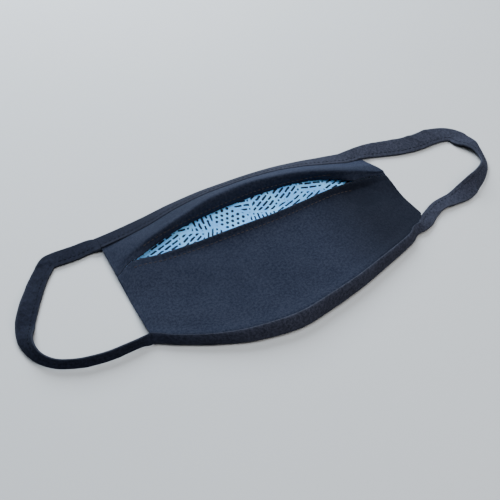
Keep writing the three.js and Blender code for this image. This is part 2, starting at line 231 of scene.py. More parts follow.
# Soft creases across the loops: where along the loop as a share, how far each slants, its rise and breadth.
LEFT_CREASES = table(
    "along slant rise breadth",
    (0.1, 0.3, 0.15, 2.5),
    (0.185, 1, 0.5, 1.6),
    (0.215, -0.9, 0.35, 1.8),
    (0.27, 0.5, 0.3, 2.4),
    (0.325, -0.6, 0.35, 2),
    (0.375, 0.4, 0.3, 2.2),
    (0.43, -0.5, 0.3, 2.6),
    (0.52, 0.5, 0.3, 3),
    (0.78, 0.4, 0.4, 3),
    (0.9, -0.8, 0.3, 2),
)
RIGHT_CREASES = table(
    "along slant rise breadth",
    (0.05, 0.6, 0.3, 2),
    (0.17, -0.7, 0.45, 3),
    (0.24, -0.9, 0.5, 2.6),
    (0.31, -0.8, 0.6, 2.6),
    (0.37, 0.9, 0.4, 2.4),
    (0.47, -0.4, 0.3, 3),
    (0.58, 0.5, 0.3, 3),
    (0.685, 1.1, 0.7, 1.6),
    (0.73, -0.5, 0.35, 2.2),
    (0.82, 0.9, 0.4, 1.8),
    (0.9, -1, 0.4, 1.8),
)
CREASES = {-1: LEFT_CREASES, 1: RIGHT_CREASES}

# The camera: where it looks, from which side and how far, in metres, and its lens.
CAMERA_AIM = Vector((-0.0214, -0.0035, 0.0096))
CAMERA_AZIMUTH = math.radians(-28.5)
CAMERA_ELEVATION = math.radians(46.3)
CAMERA_DISTANCE = 0.480
CLIP_START = 0.01
SENSOR_MM = 36.0
LENS_MM = 53.15


def added(name, data):
    """A new object of the data, in the scene."""
    thing = bpy.data.objects.new(name, data)
    bpy.context.collection.objects.link(thing)
    return thing


def add_camera():
    data = bpy.data.cameras.new("camera")
    data.sensor_width = SENSOR_MM
    data.lens = LENS_MM
    data.clip_start = CLIP_START
    camera = added("camera", data)
    level = math.cos(CAMERA_ELEVATION)
    beside = math.sin(CAMERA_AZIMUTH) * level
    before = -math.cos(CAMERA_AZIMUTH) * level
    away = Vector((beside, before, math.sin(CAMERA_ELEVATION)))
    camera.location = CAMERA_AIM + away * CAMERA_DISTANCE
    camera.rotation_euler = away.to_track_quat("Z", "Y").to_euler()
    bpy.context.scene.camera = camera


add_camera()


# Sections

def column(rows, name, at):
    """A table's column at shares of the half length, smooth and without overshoot between its rows."""
    places = rows["at"]
    values = rows[name]
    at = np.clip(np.asarray(at, float), places[0], places[-1])
    slopes = np.diff(values) / np.diff(places)
    before, after = slopes[:-1], slopes[1:]
    together = before * after > 0
    total = np.where(together, before + after, 1.0)
    inner = np.where(together, 2 * before * after / total, 0.0)
    tangents = np.concatenate([[0.5 * slopes[0]], inner, [0.5 * slopes[-1]]])
    row = np.clip(np.searchsorted(places, at, side="right") - 1, 0, len(places) - 2)
    span = places[row + 1] - places[row]
    t = (at - places[row]) / span
    return (
        (2 * t**3 - 3 * t**2 + 1) * values[row]
        + (t**3 - 2 * t**2 + t) * span * tangents[row]
        + (3 * t**2 - 2 * t**3) * values[row + 1]
        + (t**3 - t**2) * span * tangents[row + 1]
    )


def pair(y, z):
    y, z = np.broadcast_arrays(np.asarray(y, float), np.asarray(z, float))
    return np.stack([y, z], axis=-1)


def unit(vectors):
    return vectors / np.maximum(np.linalg.norm(vectors, axis=-1, keepdims=True), LEAST_LENGTH)


def smoothstep(low, high, value):
    t = np.clip((value - low) / (high - low), 0, 1)
    return t * t * (3 - 2 * t)


def tape_frame(edge_table, at, curl):
    """A tape at each section: its outermost edge, tilt and width, and how fast it rolls over at its seam."""
    side = np.sign(edge_table["edge"][0])
    tilt = np.radians(column(edge_table, "tilt", at))
    width = tape_width * column(edge_table, "width", at)
    drop = np.maximum(0, -width * np.sin(tilt))
    rest = GROUND_GAP + STITCH_ROOM + TAPE_HALF * np.abs(np.cos(tilt)) + drop
    height = rest + crest_rise * column(edge_table, "rise", at)
    rate = curl * tilt / CURL_LENGTH
    rate = np.where(np.abs(rate) < LEAST_RATE, LEAST_RATE, rate)
    edge = pair(half_height * column(edge_table, "edge", at), height)
    return {"edge": edge, "side": side, "tilt": tilt[:, None], "width": width, "rate": rate[:, None]}


def tape_at(tape, along):
    """The tape's middle and the direction square to it, at distances inwards from its folded edge."""
    tilt, rate, side = tape["tilt"], tape["rate"], tape["side"]
    start = tape["width"][:, None] - CURL_LENGTH
    rolled = np.maximum(along - start, 0)
    turned = tilt - rate * rolled
    straight = np.minimum(along, start)
    inwards = straight * np.cos(tilt) + (np.sin(tilt) - np.sin(turned)) / rate
    upwards = straight * np.sin(tilt) + (np.cos(turned) - np.cos(tilt)) / rate
    middle = tape["edge"][:, None] + pair(-side * inwards, upwards)
    return middle, pair(side * np.sin(turned), np.cos(turned))


def tucked(tape, layer):
    """A cloth layer inside the tape, from near its fold to just past its seam."""
    first = TAPE_HALF + TUCK_FROM_FOLD
    shares = np.linspace(0, 1, TUCK_POINTS)
    along = first + (tape["width"][:, None] + TUCK_PAST_SEAM - first) * shares
    middle, up = tape_at(tape, along)
    return middle + up * layer * LAYER_STEP / 2


def spline(keys, steps=SPLINE_STEPS):
    """Points on a Catmull-Rom curve through keys, an array of sections by points by coordinates."""
    first = 2 * keys[:, :1] - keys[:, 1:2]
    last = 2 * keys[:, -1:] - keys[:, -2:-1]
    padded = np.hstack([first, keys, last])
    t = np.linspace(0, 1, steps, endpoint=False)[None, :, None]
    runs = []
    for k in range(keys.shape[1] - 1):
        a, b, c, d = (padded[:, None, k + i] for i in range(4))
        square = (2 * a - 5 * b + 4 * c - d) * t**2
        cube = (3 * b - a - 3 * c + d) * t**3
        runs.append(0.5 * (2 * b + (c - a) * t + square + cube))
    runs.append(keys[:, None, -1])
    return np.hstack(runs)


def run_along(points):
    """Each point's distance from the first one, measured along the points."""
    steps = np.linalg.norm(np.diff(points, axis=0), axis=1)
    return np.concatenate([[0], np.cumsum(steps)])


def sampled(places, run, values):
    """The values, rows with their distances in run, at other places along the run."""
    return np.stack([np.interp(places, run, part) for part in values.T], axis=-1)


def spaced(lines, count):
    """Each line with count points at equal distances, and their distances from its start."""
    result = np.empty((len(lines), count, lines.shape[2]))
    lengths = np.empty((len(lines), count))
    for i, line in enumerate(lines):
        run = run_along(line)
        lengths[i] = np.linspace(0, run[-1], count)
        result[i] = sampled(lengths[i], run, line)
    return result, lengths


def lining_keys(at):
    """The crest, both hems and the height of the lower lining's dip at each section."""
    from_slit = 0.1
    crest = pair(
        half_height * column(LINING, "crest", at),
        crest_rise * column(LINING, "crest_height", at),
    )
    place = half_height * column(LINING, "slit", at)
    height = crest_rise * column(LINING, "slit_height", at)
    open_by = slit_opening * column(LINING, "open", at)
    lift = slit_opening * column(LINING, "lift", at)
    lower_hem = pair(place - from_slit, height)
    upper_hem = pair(place + from_slit + open_by, height + lift)
    return crest, lower_hem, upper_hem, crest_rise * column(LINING, "dip", at)


def between(a, b, share):
    return a + (b - a) * share


def upper_lines(at):
    """The upper lining's middle line at each section, from inside the nose tape to the upper hem."""
    back_share = 0.55
    back_puff = 0.04
    puff_from = 0.2
    front_share = 0.5
    front_hang = 1.4
    crest, _, upper_hem, _ = lining_keys(at)
    inside = tucked(tape_frame(NOSE_EDGE, at, NOSE_CURL), 1)
    seam = inside[:, -1]
    back = between(seam, crest, back_share)
    back[:, 1] += back_puff * crest_rise * smoothstep(puff_from * crest_rise, crest_rise, crest[:, 1])
    front = between(crest, upper_hem, front_share)
    front[:, 0] -= front_hang * column(LINING, "open", at)
    run = spline(np.stack([seam, back, crest, front, upper_hem], axis=1))
    return np.hstack([inside[:, :-1], run])


def lower_lines(at):
    """The lower lining's middle line at each section, from the lower hem to inside the chin tape."""
    shoulder_share = 0.84
    shoulder_rise = 0.42
    dip_share = 0.45
    gentle_reach = 0.3
    gentle_rise = 0.7
    steep_rise = 0.15
    _, lower_hem, _, dip_height = lining_keys(at)
    inside = tucked(tape_frame(CHIN_EDGE, at, CHIN_CURL), 1)[:, ::-1]
    ridge = inside[:, 0]
    shoulder = pair(
        between(lower_hem, ridge, shoulder_share)[:, 0],
        dip_height + shoulder_rise * np.maximum(0, ridge[:, 1] - dip_height),
    )
    dip = pair(between(lower_hem, ridge, dip_share)[:, 0], dip_height)
    steep = column(LINING, "foot", at)
    reach = between(gentle_reach * (lower_hem[:, 0] - dip[:, 0]), FOOT_REACH, steep)
    rise = between(gentle_rise, steep_rise, steep)
    foot = pair(lower_hem[:, 0] - reach, between(dip_height, lower_hem[:, 1], rise))
    run = spline(np.stack([lower_hem, foot, dip, shoulder, ridge], axis=1))
    return np.hstack([run[:, :-1], inside])


def outer_lines(at):
    """The outer panel's middle line: flat on the ground, climbing into both tapes and, at the side edges,
    lying against the lining."""
    nose_climb = -0.5
    chin_climb = 0.26
    climb_shares = np.linspace(0.06, 0.95, 12)
    belly_shares = np.linspace(0, 1, 40)
    side_from = 0.8
    belly = GROUND_GAP + OUTER_CLOTH / 2
    ends = []
    flats = []
    sides = ((NOSE_EDGE, NOSE_CURL, nose_climb), (CHIN_EDGE, CHIN_CURL, chin_climb))
    for edge_table, curl, climb in sides:
        inside = tucked(tape_frame(edge_table, at, curl), -1)
        seam = inside[:, -1]
        flat = seam[:, 0] + climb * half_height
        rising = [
            pair(between(seam[:, 0], flat, s), between(belly, seam[:, 1], (1 - s) ** 2))
            for s in climb_shares
        ]
        ends.append([*np.moveaxis(inside, 1, 0), *rising])
        flats.append(flat)
    middle = [pair(between(flats[0], flats[1], s), belly) for s in belly_shares]
    lines = np.stack([*ends[0], *middle, *ends[1][::-1]], axis=1)
    upper = upper_lines(at)
    lower = lower_lines(at)
    near = smoothstep(side_from, 1.0, np.abs(at))
    inner = slice(TUCK_POINTS, -TUCK_POINTS)
    for i, share in enumerate(near):
        if share > 0:
            above = np.concatenate([lower[i][::-1], upper[i][::-1]])
            order = np.argsort(above[:, 0])
            against = np.interp(lines[i, :, 0], above[order, 0], above[order, 1]) - LAYER_STEP
            raised = np.maximum(lines[i, inner, 1], against[inner])
            lines[i, inner, 1] += share * (raised - lines[i, inner, 1])
    return lines


# Meshes

class Builder:
    """Collects points, their cloth coordinates and how much paler each is painted (partly wear, partly a
    painted highlight), and faces, and makes one object of them.
    """

    def __init__(self):
        self.points = []
        self.faces = []
        self.cloth = []
        self.wear_and_highlight = []

    def add(self, points, faces, cloth, wear_and_highlight=None):
        base = len(self.points)
        self.points.extend(np.asarray(points).tolist())
        self.cloth.extend(np.asarray(cloth).tolist())
        self.wear_and_highlight.extend([0.0] * len(points) if wear_and_highlight is None else np.asarray(wear_and_highlight).tolist())
        self.faces.extend([[base + i for i in face] for face in faces])

    def make(self, name, material, slot):
        mesh = bpy.data.meshes.new(name)
        points = [[x * MM, y * MM, z * MM] for x, y, z in self.points]
        mesh.from_pydata(points, [], self.faces)
        mesh.polygons.foreach_set("use_smooth", [True] * len(mesh.polygons))
        layer = mesh.uv_layers.new(name="cloth")
        corner_points = np.empty(len(mesh.loops), np.int32)
        mesh.loops.foreach_get("vertex_index", corner_points)
        layer.data.foreach_set("uv", (np.array(self.cloth)[corner_points] / UV_MM).ravel())
        # How much paler each point is painted: partly wear, partly a painted highlight.
        wear_and_highlight = mesh.attributes.new("wear_and_highlight", "FLOAT", "POINT")
        wear_and_highlight.data.foreach_set("value", np.array(self.wear_and_highlight, np.float32))
        mesh.materials.append(material)
        mesh.update()
        piece = added(name, mesh)
        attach(piece, "root")
        return piece


def grid_normals(grid):
    """The unit normals of a grid of points, turned so that most point up."""
    along = np.gradient(grid, axis=0)
    across = np.gradient(grid, axis=1)
    normals = unit(np.cross(along, across))
    return normals if normals[..., 2].mean() > 0 else -normals


def ring_faces(rings, count):
    """The faces of a tube of rings of count points, closed at both ends."""
    faces = []
    for r in range(rings - 1):
        for i in range(count):
            a = r * count + i
            b = r * count + (i + 1) % count
            faces.append((a, b, b + count, a + count))
    faces.append(tuple(reversed(range(count))))
    faces.append(tuple(range((rings - 1) * count, rings * count)))
    return faces


def facing_out(points, faces):
    """The faces turned so that the closed mesh's volume is positive."""
    points = np.asarray(points)
    total = 0.0
    for face in faces:
        a = points[face[0]]
        for i in range(1, len(face) - 1):
            total += np.dot(a, np.cross(points[face[i]], points[face[i + 1]]))
    return faces if total > 0 else [tuple(reversed(face)) for face in faces]


def sheet_solid(grid, over, under, cloth, wear_and_highlight=None):
    """A builder with a cloth of the given stand-off over and under its middle surface, closed at its rims."""
    builder = Builder()
    normals = grid_normals(grid)
    rows, cols = grid.shape[:2]
    top = (grid + normals * over[..., None]).reshape(-1, 3)
    bottom = (grid - normals * under[..., None]).reshape(-1, 3)
    count = rows * cols
    faces = []
    for r in range(rows - 1):
        for c in range(cols - 1):
            a = r * cols + c
            faces.append((a, a + 1, a + cols + 1, a + cols))
            faces.append((a + cols + count, a + cols + 1 + count, a + 1 + count, a + count))
    border = list(range(cols))
    border += [r * cols + cols - 1 for r in range(1, rows)]
    border += [(rows - 1) * cols + c for c in range(cols - 2, -1, -1)]
    border += [r * cols for r in range(rows - 2, 0, -1)]
    for a, b in zip(border, border[1:] + border[:1]):
        faces.append((b, a, a + count, b + count))
    points = np.concatenate([top, bottom])
    wear_and_highlight = None if wear_and_highlight is None else np.concatenate([wear_and_highlight.ravel(), wear_and_highlight.ravel()])
    flat = cloth.reshape(-1, 2)
    builder.add(points, facing_out(points, faces), np.concatenate([flat, flat]), wear_and_highlight)
    return builder


def ripple(seed, x, y, shortest, longest, height, count=14):
    """Soft unevenness: a few waves of different directions and lengths, the same ones each time."""
    random = np.random.default_rng(seed)
    total = np.zeros_like(x)
    for _ in range(count):
        direction = random.uniform(0, 2 * math.pi)
        length = random.uniform(shortest, longest)
        phase = random.uniform(0, 2 * math.pi)
        run = x * math.cos(direction) + y * math.sin(direction)
        total += np.sin(2 * math.pi * run / length + phase)
    return height * total / math.sqrt(count)


def side_place(at, y):
    """How far along the mask a point lies: its side edges lean out at the left and are drawn in at the lower
    right corner and a little at the upper right one."""
    left = LEFT_OUT * smoothstep(LEFT_FROM, 1, -at)
    lower = CORNER_IN * smoothstep(*CORNER_REACH, y)
    upper = SHOULDER_IN * smoothstep(*SHOULDER_REACH, y)
    return half_length * at - left - (lower + upper) * smoothstep(RIGHT_FROM, 1, at)


def to_grid(at, lines):
    """The lines' points in three dimensions."""
    x = side_place(np.broadcast_to(at[:, None], lines.shape[:2]), lines[..., 0])
    return np.concatenate([x[..., None], lines], axis=2)


def edge_round(distance, radius):
    """1 inside the cloth, falling to a small value as a round fold does at its edge."""
    nearest = 0.97
    near = np.clip(1 - distance / radius, 0, nearest)
    return np.sqrt(1 - near**2)


def stitch_dent(distance, place, run, depth, breadth, even):
    """The dent along a row of stitches, deepest under each thread. even is its steady share."""
    thread = even + (1 - even) * np.cos(2 * math.pi * run / STITCH_PITCH)
    return depth * np.exp(-(((distance - place) / breadth) ** 2)) * thread


stations = np.linspace(-1, 1, STATIONS)


def hollow(x, y, from_hem):
    """How far the lower lining sinks beside the slit's right end."""
    along = (x - HOLLOW_PLACE[0]) / HOLLOW_REACH[0]
    across = (y - HOLLOW_PLACE[1]) / HOLLOW_REACH[1]
    return HOLLOW_DEPTH * np.exp(-(along**2) - across**2) * smoothstep(*HOLLOW_FROM_HEM, from_hem)


def lining_sheet(name, node, line_rule, hem_last, seed, material):
    """One part of the lining, with the turned hem at its slit edge. Returns the piece, its grid, how far its
    upper face stands off the grid and each point's distance from the hem."""
    broad_waves = (22, 80, 0.32)
    fine_waves = (7, 18, 0.05)
    calm_at_tape = (8, 26)
    calm_at_hem = (1, 14)
    pucker_height = 0.12
    pucker_drift = 9
    pucker_reach = 5
    rim_radius = 0.6
    dent_depth = 0.14
    dent_breadth = 0.9
    dent_even = 0.6
    hem_end = (HEM_WIDTH - 0.6, HEM_WIDTH + 0.4)
    # The hem's edge is painted paler: partly wear, partly a painted highlight.
    worn_lit_rim = (0.2, 0.9)
    rim_wear_and_highlight = 0.7
    lines, lengths = spaced(line_rule(stations), LINING_POINTS)
    grid = to_grid(stations, lines)
    total = lengths[:, -1:]
    from_hem = total - lengths if hem_last else lengths
    from_tape = total - from_hem
    calm = smoothstep(*calm_at_tape, from_tape) * smoothstep(*calm_at_hem, from_hem)
    normals = grid_normals(grid)
    x, y = grid[..., 0], grid[..., 1]
    uneven = ripple(seed, x, y, *broad_waves) * calm + ripple(seed + 1, x, y, *fine_waves) * calm
    folds = np.sin(2 * math.pi * x / (2 * STITCH_PITCH) + np.sin(x / pucker_drift))
    pucker = pucker_height * folds * np.exp(-from_hem / pucker_reach)
    grid = grid + normals * (uneven + pucker)[..., None]
    if not hem_last:
        height = grid[..., 2]
        grid[..., 2] = np.minimum(height, np.maximum(height - hollow(x, y, from_hem), HOLLOW_FLOOR))
    rounded = edge_round(from_hem, rim_radius)
    hem = HEM_EXTRA * (1 - smoothstep(*hem_end, from_hem))
    dent = stitch_dent(from_hem, HEM_STITCH, x, dent_depth, dent_breadth, dent_even)
    over = CLOTH / 2 * rounded - dent
    under = (CLOTH / 2 + hem) * rounded
    cloth = np.stack([x, from_hem if hem_last else -from_hem], axis=-1)
    wear_and_highlight = rim_wear_and_highlight * (1 - smoothstep(*worn_lit_rim, from_hem))
    piece = sheet_solid(grid, over, under, cloth, wear_and_highlight).make(name, material, "lining_cloth")
    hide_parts(node)
    return piece, grid, over, from_hem


def outer_sheet(material):
    """The printed cloth, a little uneven where it lies clear of the tapes and the side edges."""
    seed = 31
    swell = (14, 46, 0.5)
    calm_at_tape = (10, 26)
    calm_at_side = (0.8, 0.98)
    inside = stations * OUTER_SHARE
    lines, lengths = spaced(outer_lines(inside), OUTER_POINTS)
    grid = to_grid(inside, lines)
    x, y = grid[..., 0], grid[..., 1]
    calm = smoothstep(*calm_at_tape, np.minimum(lengths, lengths[:, -1:] - lengths))
    calm = calm * (1 - smoothstep(*calm_at_side, np.abs(x) / half_length))
    grid[..., 2] += np.maximum(0, ripple(seed, x, y, *swell)) * calm
    over = np.full(x.shape, OUTER_CLOTH / 2)
    cloth = np.stack([x, y], axis=-1)
    piece = sheet_solid(grid, over, over, cloth).make("outer_cloth", material, "printed_cloth")
    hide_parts("outer_panel")
    return piece


def tape_outline(width, half, run, stitch_depth=0.2, puff=0.16, gape=0.0):
    """The outer outline of a folded tape's section, from its inner edge over to the fold and back under.
    Returns, by station, how far each point lies inwards from the fold and off the tape's middle, its distance
    in the cloth and how much paler it is painted, partly for wear and partly as a painted highlight."""
    edge_radius = 0.5
    edge_share = 0.72
    gape_reach = 0.3
    dent_breadth = 0.8
    dent_even = 0.65
    fold_points = 9
    # The fold is painted paler, partly wear and partly a painted highlight; the inner edge is painted paler
    # as a painted highlight on the seam's ridge.
    worn_lit_fold_reach = (0.86, 1.0)
    inner_highlight_reach = (0, 0.09)
    inner_highlight_strength = 0.8
    share = np.concatenate([np.linspace(0, 0.12, 4), np.linspace(0.2, 0.92, 11)])
    from_inner = share[None, :] * width[:, None]
    rounded = edge_round(from_inner, edge_radius)
    body = half[:, None] * (edge_share + (1 - edge_share) * rounded) + puff * np.sin(math.pi * share)[None, :]
    body = body + np.broadcast_to(gape, half.shape)[:, None] * (1 - smoothstep(0, gape_reach, share))[None, :]
    dent = stitch_dent(from_inner, TAPE_STITCH, run[:, None], stitch_depth, dent_breadth, dent_even)
    stand = body - dent
    inward = width[:, None] - from_inner
    angles = np.linspace(0.5 * math.pi, -0.5 * math.pi, fold_points)[1:-1]
    fold_in = inward[:, -1:] * (1 - np.cos(angles)[None, :])
    fold_off = stand[:, -1:] * np.sin(angles)[None, :]
    fold_run = np.ones_like(fold_in) * width[:, None]
    across = np.hstack([inward, fold_in, inward[:, ::-1]])
    offset = np.hstack([stand, fold_off, -stand[:, ::-1]])
    distance = np.hstack([from_inner, fold_run, -from_inner[:, ::-1]])
    worn_and_lit = np.maximum(smoothstep(*worn_lit_fold_reach, share), inner_highlight_strength * (1 - smoothstep(*inner_highlight_reach, share)))
    worn_and_lit = np.concatenate([worn_and_lit, np.ones(len(angles)), worn_and_lit[::-1]])
    wear_and_highlight = np.broadcast_to(worn_and_lit, across.shape).copy()
    return across, offset, distance, wear_and_highlight


def edge_tape(name, node, edge_table, curl, gape, material):
    """A tape folded over an edge: a channel whose leaves lie on the lining and on the outer cloth.
    Returns the paths and normals of its two rows of stitches."""
    tape = tape_frame(edge_table, stations, curl)
    run = half_length * stations
    half = np.full(STATIONS, TAPE_HALF)
    across, offset, distance, wear_and_highlight = tape_outline(tape["width"], half, run, gape=gape)
    inner_across = np.maximum(across[:, ::-1], TAPE_LEAF)
    inner_off = np.sign(offset[:, ::-1]) * np.maximum(np.abs(offset[:, ::-1]) - TAPE_LEAF, 0.0)
    all_across = np.hstack([across, inner_across])
    all_off = np.hstack([offset, inner_off])
    middle, up = tape_at(tape, all_across)
    points = to_grid(stations, middle + up * all_off[..., None])
    count = points.shape[1]
    cloth = np.stack([points[..., 0], np.hstack([distance, distance[:, ::-1]])], axis=-1)
    # Only the outer face is painted paler at its edges: partly wear, partly a painted highlight.
    all_wear_and_highlight = np.hstack([wear_and_highlight, np.zeros_like(wear_and_highlight)])
    flat = points.reshape(-1, 3)
    builder = Builder()
    builder.add(flat, facing_out(flat, ring_faces(STATIONS, count)), cloth.reshape(-1, 2), all_wear_and_highlight.ravel())
    piece = builder.make(name, material, "folded_tape")
    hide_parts(node)
    rows = []
    for leaf in (1, -1):
        middle, up = tape_at(tape, (tape["width"] - TAPE_STITCH)[:, None])
        line = middle + up * leaf * (TAPE_HALF + STITCH_STAND)
        normal = np.hstack([np.zeros((STATIONS, 1)), leaf * up[:, 0]])
        rows.append((to_grid(stations, line)[:, 0], normal))
    return rows


def loop_tape(name, node, side, material):
    """A loop: the folded tape swept from the end of the nose tape to the end of the chin tape. Returns the
    paths and normals of its two rows of stitches."""
    lead_length = 0.2 * tape_width
    end_length = 14
    stitch_depth = 0.16
    puff = 0.1
    seed = 7 + side
    slack_waves = (9, 30, 0.12, 8)
    slack_share = 0.6
    free_from = (4, 20)
    crease_even = 0.6
    rows = LOOPS[side]
    ends = []
    for edge_table, curl in ((NOSE_EDGE, NOSE_CURL), (CHIN_EDGE, CHIN_CURL)):
        tape = tape_frame(edge_table, np.array([float(side)]), curl)
        middle, _ = tape_at(tape, tape["width"][:, None] / 2)
        lean = -np.degrees(tape["tilt"][0, 0])
        ends.append((middle[0, 0], lean, tape["width"][0] / tape_width))
    lean = np.radians(rows["lean"])
    rest = (
        GROUND_GAP
        + STITCH_ROOM
        + rows["width"] * tape_width * np.abs(np.sin(lean)) / 2
        + STRAP_HALF * np.abs(np.cos(lean))
    )
    x = side * (half_length + rows["reach"] * loop_reach[side])
    middle = np.stack([x, half_height * rows["across"], rest, rows["lean"], rows["width"]], axis=1)
    keys = []
    for (place, turn, share), lead_first in zip(ends, (False, True)):
        start = float(side_place(np.array(float(side)), place[0]))
        near = [start, place[0], place[1], turn, share]
        lead = [start + side * lead_length, place[0], place[1], turn, share]
        keys.append([lead, near] if lead_first else [near, lead])
    keys = np.concatenate([keys[0], middle, keys[1]])
    fine = spline(keys[None], LOOP_SPLINE_STEPS)
    line, lengths = spaced(fine[..., :3], LOOP_STATIONS)
    run = run_along(fine[0, :, :3])
    turn = np.radians(np.interp(lengths[0], run, fine[0, :, 3]))
    width = tape_width * np.interp(lengths[0], run, fine[0, :, 4])
    line = line[0]
    forward = unit(np.gradient(line, axis=0))
    forward[0] = (side, 0, 0)
    forward[-1] = (-side, 0, 0)
    up = np.array([0.0, 0.0, 1.0])
    level = unit(np.cross(up, forward)) * side
    outward = level * np.cos(turn)[:, None] + up * np.sin(turn)[:, None]
    outward = unit(outward - forward * (outward * forward).sum(1, keepdims=True))
    through = unit(np.cross(outward, forward)) * side
    from_end = np.minimum(lengths[0], lengths[0][-1] - lengths[0])
    half = STRAP_HALF + (TAPE_HALF - STRAP_HALF) * (1 - smoothstep(0, end_length, from_end))
    across, offset, distance, wear_and_highlight = tape_outline(width, half, lengths[0], stitch_depth, puff)
    free = smoothstep(*free_from, from_end)
    slack = slack_share * ripple(seed, lengths[0], 0 * lengths[0], *slack_waves) * free
    offset = offset + slack[:, None]
    from_middle = width[:, None] / 2 - across
    for along, slant, rise, breadth in zip(*CREASES[side].values()):
        place = lengths[0][:, None] - along * lengths[0][-1] - slant * from_middle
        offset = offset - rise * np.exp(-((place / breadth) ** 2)) * (crease_even + from_middle / tape_width)
    places = (
        line[:, None]
        + outward[:, None] * (width[:, None] / 2 - across)[..., None]
        + through[:, None] * offset[..., None]
    )
    lowest = GROUND_GAP + STITCH_ROOM * free
    lift = np.maximum(0, lowest - places[..., 2].min(axis=1))
    places[..., 2] += lift[:, None]
    line[:, 2] += lift
    flat = places.reshape(-1, 3)
    cloth = np.stack([np.broadcast_to(lengths[0][:, None], distance.shape), distance], axis=-1)
    builder = Builder()
    faces = facing_out(flat, ring_faces(LOOP_STATIONS, places.shape[1]))
    builder.add(flat, faces, cloth.reshape(-1, 2), wear_and_highlight.ravel())
    piece = builder.make(name, material, "folded_tape")
    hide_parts(node)
    stitch_rows = []
    for leaf in (1, -1):
        stand = (leaf * (half + STITCH_STAND) + slack)[:, None]
        path = line + outward * (TAPE_STITCH - width / 2)[:, None] + through * stand
        stitch_rows.append((path, leaf * through))
    return stitch_rows


def stitches(builder, path, normals, start=0.0, stop=1.0):
    """A row of stitches along a path: short threads that dip into the cloth at both ends."""
    rise = np.array([-0.22, 0.02, 0.1, 0.1, 0.02, -0.22])
    sides = 6
    run = run_along(path)
    begin, finish = start * run[-1], stop * run[-1]
    for k in range(int((finish - begin) / STITCH_PITCH)):
        places = begin + k * STITCH_PITCH + np.linspace(0, STITCH_LENGTH, len(rise))
        normal = unit(sampled(places, run, normals))
        centre = sampled(places, run, path) + normal * rise[:, None]
        forward = unit(np.gradient(centre, axis=0))
        beside = unit(np.cross(forward, normal))
        other = np.cross(beside, forward)
        angle = np.linspace(0, 2 * math.pi, sides, endpoint=False)
        ring = (
            beside[:, None] * np.cos(angle)[None, :, None]
            + other[:, None] * np.sin(angle)[None, :, None]
        )
        points = (centre[:, None] + THREAD_RADIUS * ring).reshape(-1, 3)
        cloth = np.stack([np.repeat(places, sides), np.tile(angle, len(places))], axis=1)
        builder.add(points, facing_out(points, ring_faces(len(places), sides)), cloth)


def hem_row(grid, over, from_hem, distance):
    """The path and normals of a stitch row at a distance from a hem's edge, on its upper face."""
    normals = grid_normals(grid)
    surface = grid + normals * over[..., None]
    path = np.empty((len(grid), 3))
    square = np.empty((len(grid), 3))
    for i, lengths in enumerate(from_hem):
        order = np.argsort(lengths)
        path[i] = sampled(distance, lengths[order], surface[i, order])
        square[i] = sampled(distance, lengths[order], normals[i, order])
    return path, unit(square)


# Materials

class Nodes:
    """Short names for the nodes of one material."""

    def __init__(self, name):
        self.material = bpy.data.materials.new(name)
        self.material.use_nodes = True
        self.tree = self.material.node_tree
        self.shader = self.tree.nodes["Principled BSDF"]

    def new(self, kind, **settings):
        node = self.tree.nodes.new(kind)
        for key, value in settings.items():
            setattr(node, key, value)
        return node

    def put(self, value, socket):
        if isinstance(value, bpy.types.NodeSocket):
            self.tree.links.new(value, socket)
        else:
            socket.default_value = value

    def math(self, operation, a, b=0.0):
        node = self.new("ShaderNodeMath", operation=operation)
        for value, socket in zip((a, b), node.inputs):
            self.put(value, socket)
        return node.outputs[0]

    def plus(self, a, b):
        return self.math("ADD", a, b)

    def times(self, a, b):
        return self.math("MULTIPLY", a, b)

    def vector(self, operation, a, b=(0, 0, 0)):
        node = self.new("ShaderNodeVectorMath", operation=operation)
        self.put(a, node.inputs[0])
        self.put(b, node.inputs[1])
        return node.outputs[0]

    def parts(self, vector):
        node = self.new("ShaderNodeSeparateXYZ")
        self.put(vector, node.inputs[0])
        return node.outputs

    def noise(self, vector, scale, detail=2.0, roughness=0.5, output="Fac"):
        node = self.new("ShaderNodeTexNoise")
        self.put(vector, node.inputs["Vector"])
        for name, value in (("Scale", scale), ("Detail", detail), ("Roughness", roughness)):
            node.inputs[name].default_value = value
        return node.outputs[output]

    def mix(self, share, a, b):
        node = self.new("ShaderNodeMix", data_type="RGBA")
        self.put(share, node.inputs["Factor"])
        self.put(a, node.inputs["A"])
        self.put(b, node.inputs["B"])
        return node.outputs["Result"]

    def ramp(self, value, low, high, to_low=0.0, to_high=1.0):
        node = self.new("ShaderNodeMapRange", interpolation_type="SMOOTHSTEP")
        for v, socket in zip((value, low, high, to_low, to_high), node.inputs):
            self.put(v, socket)
        return node.outputs["Result"]

    def millimetres(self):
        uv = self.new("ShaderNodeUVMap", uv_map="cloth").outputs[0]
        node = self.new("ShaderNodeVectorMath", operation="SCALE")
        self.put(uv, node.inputs[0])
        node.inputs["Scale"].default_value = UV_MM
        return node.outputs[0]

    # Reads how much paler a point is painted: partly wear, partly a painted highlight.
    def wear_and_highlight(self):
        return self.new("ShaderNodeAttribute", attribute_name="wear_and_highlight").outputs["Fac"]

    def bump(self, height, distance, strength=1.0, normal=None):
        node = self.new("ShaderNodeBump")
        node.inputs["Strength"].default_value = strength
        node.inputs["Distance"].default_value = distance
        self.put(height, node.inputs["Height"])
        if normal is not None:
            self.put(normal, node.inputs["Normal"])
        return node.outputs["Normal"]

    def surface(self, colour, roughness, specular, normal=None):
        """Gives the shader its main looks and returns the material."""
        looks = {"Base Color": colour, "Roughness": roughness, "Specular IOR Level": specular}
        if normal is not None:
            looks["Normal"] = normal
        for name, value in looks.items():
            self.put(value, self.shader.inputs[name])
        return self.material


def waves(nodes, value, period):
    return nodes.math("SINE", nodes.times(value, 2 * math.pi / period))


